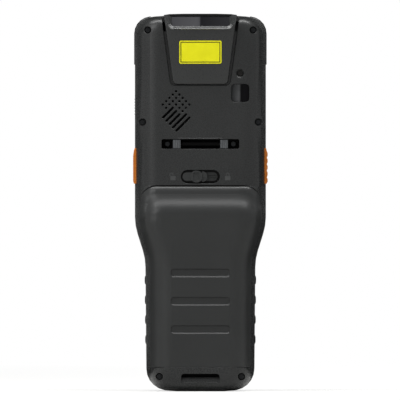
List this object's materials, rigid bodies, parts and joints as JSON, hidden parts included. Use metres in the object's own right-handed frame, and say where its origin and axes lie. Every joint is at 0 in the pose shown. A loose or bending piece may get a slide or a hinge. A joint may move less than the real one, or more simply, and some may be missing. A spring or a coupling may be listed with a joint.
{
  "type": "portable barcode data terminal",
  "caption": "Handheld data terminal with a slanted scan window, touch display, keypad, sprung side keys, a sliding battery latch and a hinged battery door.",
  "frame": {"origin": "middle of the foot, on the surface that the terminal stands on, at the centre of its box", "axes": "+X across the body to the right as seen from behind, +Y from the battery door to the display, +Z from the foot up to the scan window"},
  "size_m": [0.0678, 0.033, 0.1899],
  "materials": {
    "housing_plastic": "fine spark texture",
    "latch_plastic": "fine texture",
    "black_rubber": "matt",
    "dark_glass": "polished, tinted dark",
    "clear_lens": "moulded lens",
    "yellow_label": "plain printed film",
    "orange_plastic": "satin",
    "grey_keys": "satin",
    "electronics": "moulded",
    "black_mesh": "woven mesh",
    "screw_steel": "blackened",
    "zinc": "satin grey",
    "brass": "plated",
    "battery_wrap": "shrink wrap",
    "frame_alloy": "cast and stamped",
    "circuit_board": "solder mask"
  },
  "bodies": {
    "housing": {"rear_housing": "housing_plastic", "front_housing": "housing_plastic", "housing_seal": "black_rubber", "corner_bumpers": "black_rubber", "side_grips": "black_rubber", "scanner_hood": "housing_plastic", "scan_window": "dark_glass", "scan_engine": "electronics", "blank_label": "yellow_label", "camera_window": "dark_glass", "camera_module": "electronics", "flash_lens": "clear_lens", "speaker": "electronics", "speaker_mesh": "black_mesh", "housing_screws": "screw_steel", "screw_inserts": "brass", "strap_bar": "zinc", "strap_bar_screws": "screw_steel", "battery_pack": "battery_wrap", "battery_contacts": "brass", "mid_frame": "frame_alloy", "main_board": "circuit_board", "board_shields": "frame_alloy", "display_panel": "electronics", "touch_glass": "dark_glass", "keypad_membrane": "electronics", "keypad_board": "circuit_board", "earpiece": "black_mesh", "status_light": "clear_lens", "side_switches": "electronics", "usb_port": "frame_alloy", "charge_contacts": "brass", "antenna": "brass", "vibration_motor": "frame_alloy", "card_socket": "frame_alloy"},
    "battery_door": {"battery_door": "housing_plastic", "door_seal": "black_rubber"},
    "battery_latch": {"latch_slider": "latch_plastic", "latch_bolt": "screw_steel"},
    "port_flap": {"port_cover": "black_rubber"},
    "left_side_key": {"side_key_left": "orange_plastic"},
    "right_side_key": {"side_key_right": "orange_plastic"},
    "key_scan_cap": {"key_scan": "orange_plastic"},
    "key_soft_left_cap": {"key_soft_left": "grey_keys"},
    "key_soft_right_cap": {"key_soft_right": "grey_keys"},
    "key_back_cap": {"key_back": "grey_keys"},
    "key_enter_cap": {"key_enter": "grey_keys"},
    "key_power_cap": {"key_power": "grey_keys"},
    "key_0_cap": {"key_0": "grey_keys"},
    "key_1_cap": {"key_1": "grey_keys"},
    "key_2_cap": {"key_2": "grey_keys"},
    "key_3_cap": {"key_3": "grey_keys"},
    "key_4_cap": {"key_4": "grey_keys"},
    "key_5_cap": {"key_5": "grey_keys"},
    "key_6_cap": {"key_6": "grey_keys"},
    "key_7_cap": {"key_7": "grey_keys"},
    "key_8_cap": {"key_8": "grey_keys"},
    "key_9_cap": {"key_9": "grey_keys"},
    "key_star_cap": {"key_star": "grey_keys"},
    "key_hash_cap": {"key_hash": "grey_keys"}
  },
  "joints": [
    {"name": "battery_door_hinge", "type": "hinge", "parent": "housing", "child": "battery_door", "pos_m": [0, -0.01645, 0.0123], "axis": [1, 0, 0], "range_deg": [0, 40]},
    {"name": "battery_latch_slide", "type": "slide", "parent": "housing", "child": "battery_latch", "axis": [1, 0, 0], "range_m": [0, 0.006]},
    {"name": "cover_port_hinge", "type": "hinge", "parent": "housing", "child": "port_flap", "pos_m": [-0.033, 0.0086, 0.13515], "axis": [0, -1, 0], "range_deg": [0, 95]},
    {"name": "button_left_side", "type": "slide", "parent": "housing", "child": "left_side_key", "axis": [1, 0, 0], "range_m": [0, 0.0007], "stiffness_N_per_m": 600},
    {"name": "button_right_side", "type": "slide", "parent": "housing", "child": "right_side_key", "axis": [-1, 0, 0], "range_m": [0, 0.0007], "stiffness_N_per_m": 600},
    {"name": "key_scan_press", "type": "slide", "parent": "housing", "child": "key_scan_cap", "axis": [0, -1, 0], "range_m": [0, 0.0005], "stiffness_N_per_m": 500},
    {"name": "key_soft_left_press", "type": "slide", "parent": "housing", "child": "key_soft_left_cap", "axis": [0, -1, 0], "range_m": [0, 0.0005], "stiffness_N_per_m": 500},
    {"name": "key_soft_right_press", "type": "slide", "parent": "housing", "child": "key_soft_right_cap", "axis": [0, -1, 0], "range_m": [0, 0.0005], "stiffness_N_per_m": 500},
    {"name": "key_back_press", "type": "slide", "parent": "housing", "child": "key_back_cap", "axis": [0, -1, 0], "range_m": [0, 0.0005], "stiffness_N_per_m": 500},
    {"name": "key_enter_press", "type": "slide", "parent": "housing", "child": "key_enter_cap", "axis": [0, -1, 0], "range_m": [0, 0.0005], "stiffness_N_per_m": 500},
    {"name": "key_power_press", "type": "slide", "parent": "housing", "child": "key_power_cap", "axis": [0, -1, 0], "range_m": [0, 0.0005], "stiffness_N_per_m": 500},
    {"name": "key_0_press", "type": "slide", "parent": "housing", "child": "key_0_cap", "axis": [0, -1, 0], "range_m": [0, 0.0005], "stiffness_N_per_m": 500},
    {"name": "key_1_press", "type": "slide", "parent": "housing", "child": "key_1_cap", "axis": [0, -1, 0], "range_m": [0, 0.0005], "stiffness_N_per_m": 500},
    {"name": "key_2_press", "type": "slide", "parent": "housing", "child": "key_2_cap", "axis": [0, -1, 0], "range_m": [0, 0.0005], "stiffness_N_per_m": 500},
    {"name": "key_3_press", "type": "slide", "parent": "housing", "child": "key_3_cap", "axis": [0, -1, 0], "range_m": [0, 0.0005], "stiffness_N_per_m": 500},
    {"name": "key_4_press", "type": "slide", "parent": "housing", "child": "key_4_cap", "axis": [0, -1, 0], "range_m": [0, 0.0005], "stiffness_N_per_m": 500},
    {"name": "key_5_press", "type": "slide", "parent": "housing", "child": "key_5_cap", "axis": [0, -1, 0], "range_m": [0, 0.0005], "stiffness_N_per_m": 500},
    {"name": "key_6_press", "type": "slide", "parent": "housing", "child": "key_6_cap", "axis": [0, -1, 0], "range_m": [0, 0.0005], "stiffness_N_per_m": 500},
    {"name": "key_7_press", "type": "slide", "parent": "housing", "child": "key_7_cap", "axis": [0, -1, 0], "range_m": [0, 0.0005], "stiffness_N_per_m": 500},
    {"name": "key_8_press", "type": "slide", "parent": "housing", "child": "key_8_cap", "axis": [0, -1, 0], "range_m": [0, 0.0005], "stiffness_N_per_m": 500},
    {"name": "key_9_press", "type": "slide", "parent": "housing", "child": "key_9_cap", "axis": [0, -1, 0], "range_m": [0, 0.0005], "stiffness_N_per_m": 500},
    {"name": "key_star_press", "type": "slide", "parent": "housing", "child": "key_star_cap", "axis": [0, -1, 0], "range_m": [0, 0.0005], "stiffness_N_per_m": 500},
    {"name": "key_hash_press", "type": "slide", "parent": "housing", "child": "key_hash_cap", "axis": [0, -1, 0], "range_m": [0, 0.0005], "stiffness_N_per_m": 500}
  ]
}
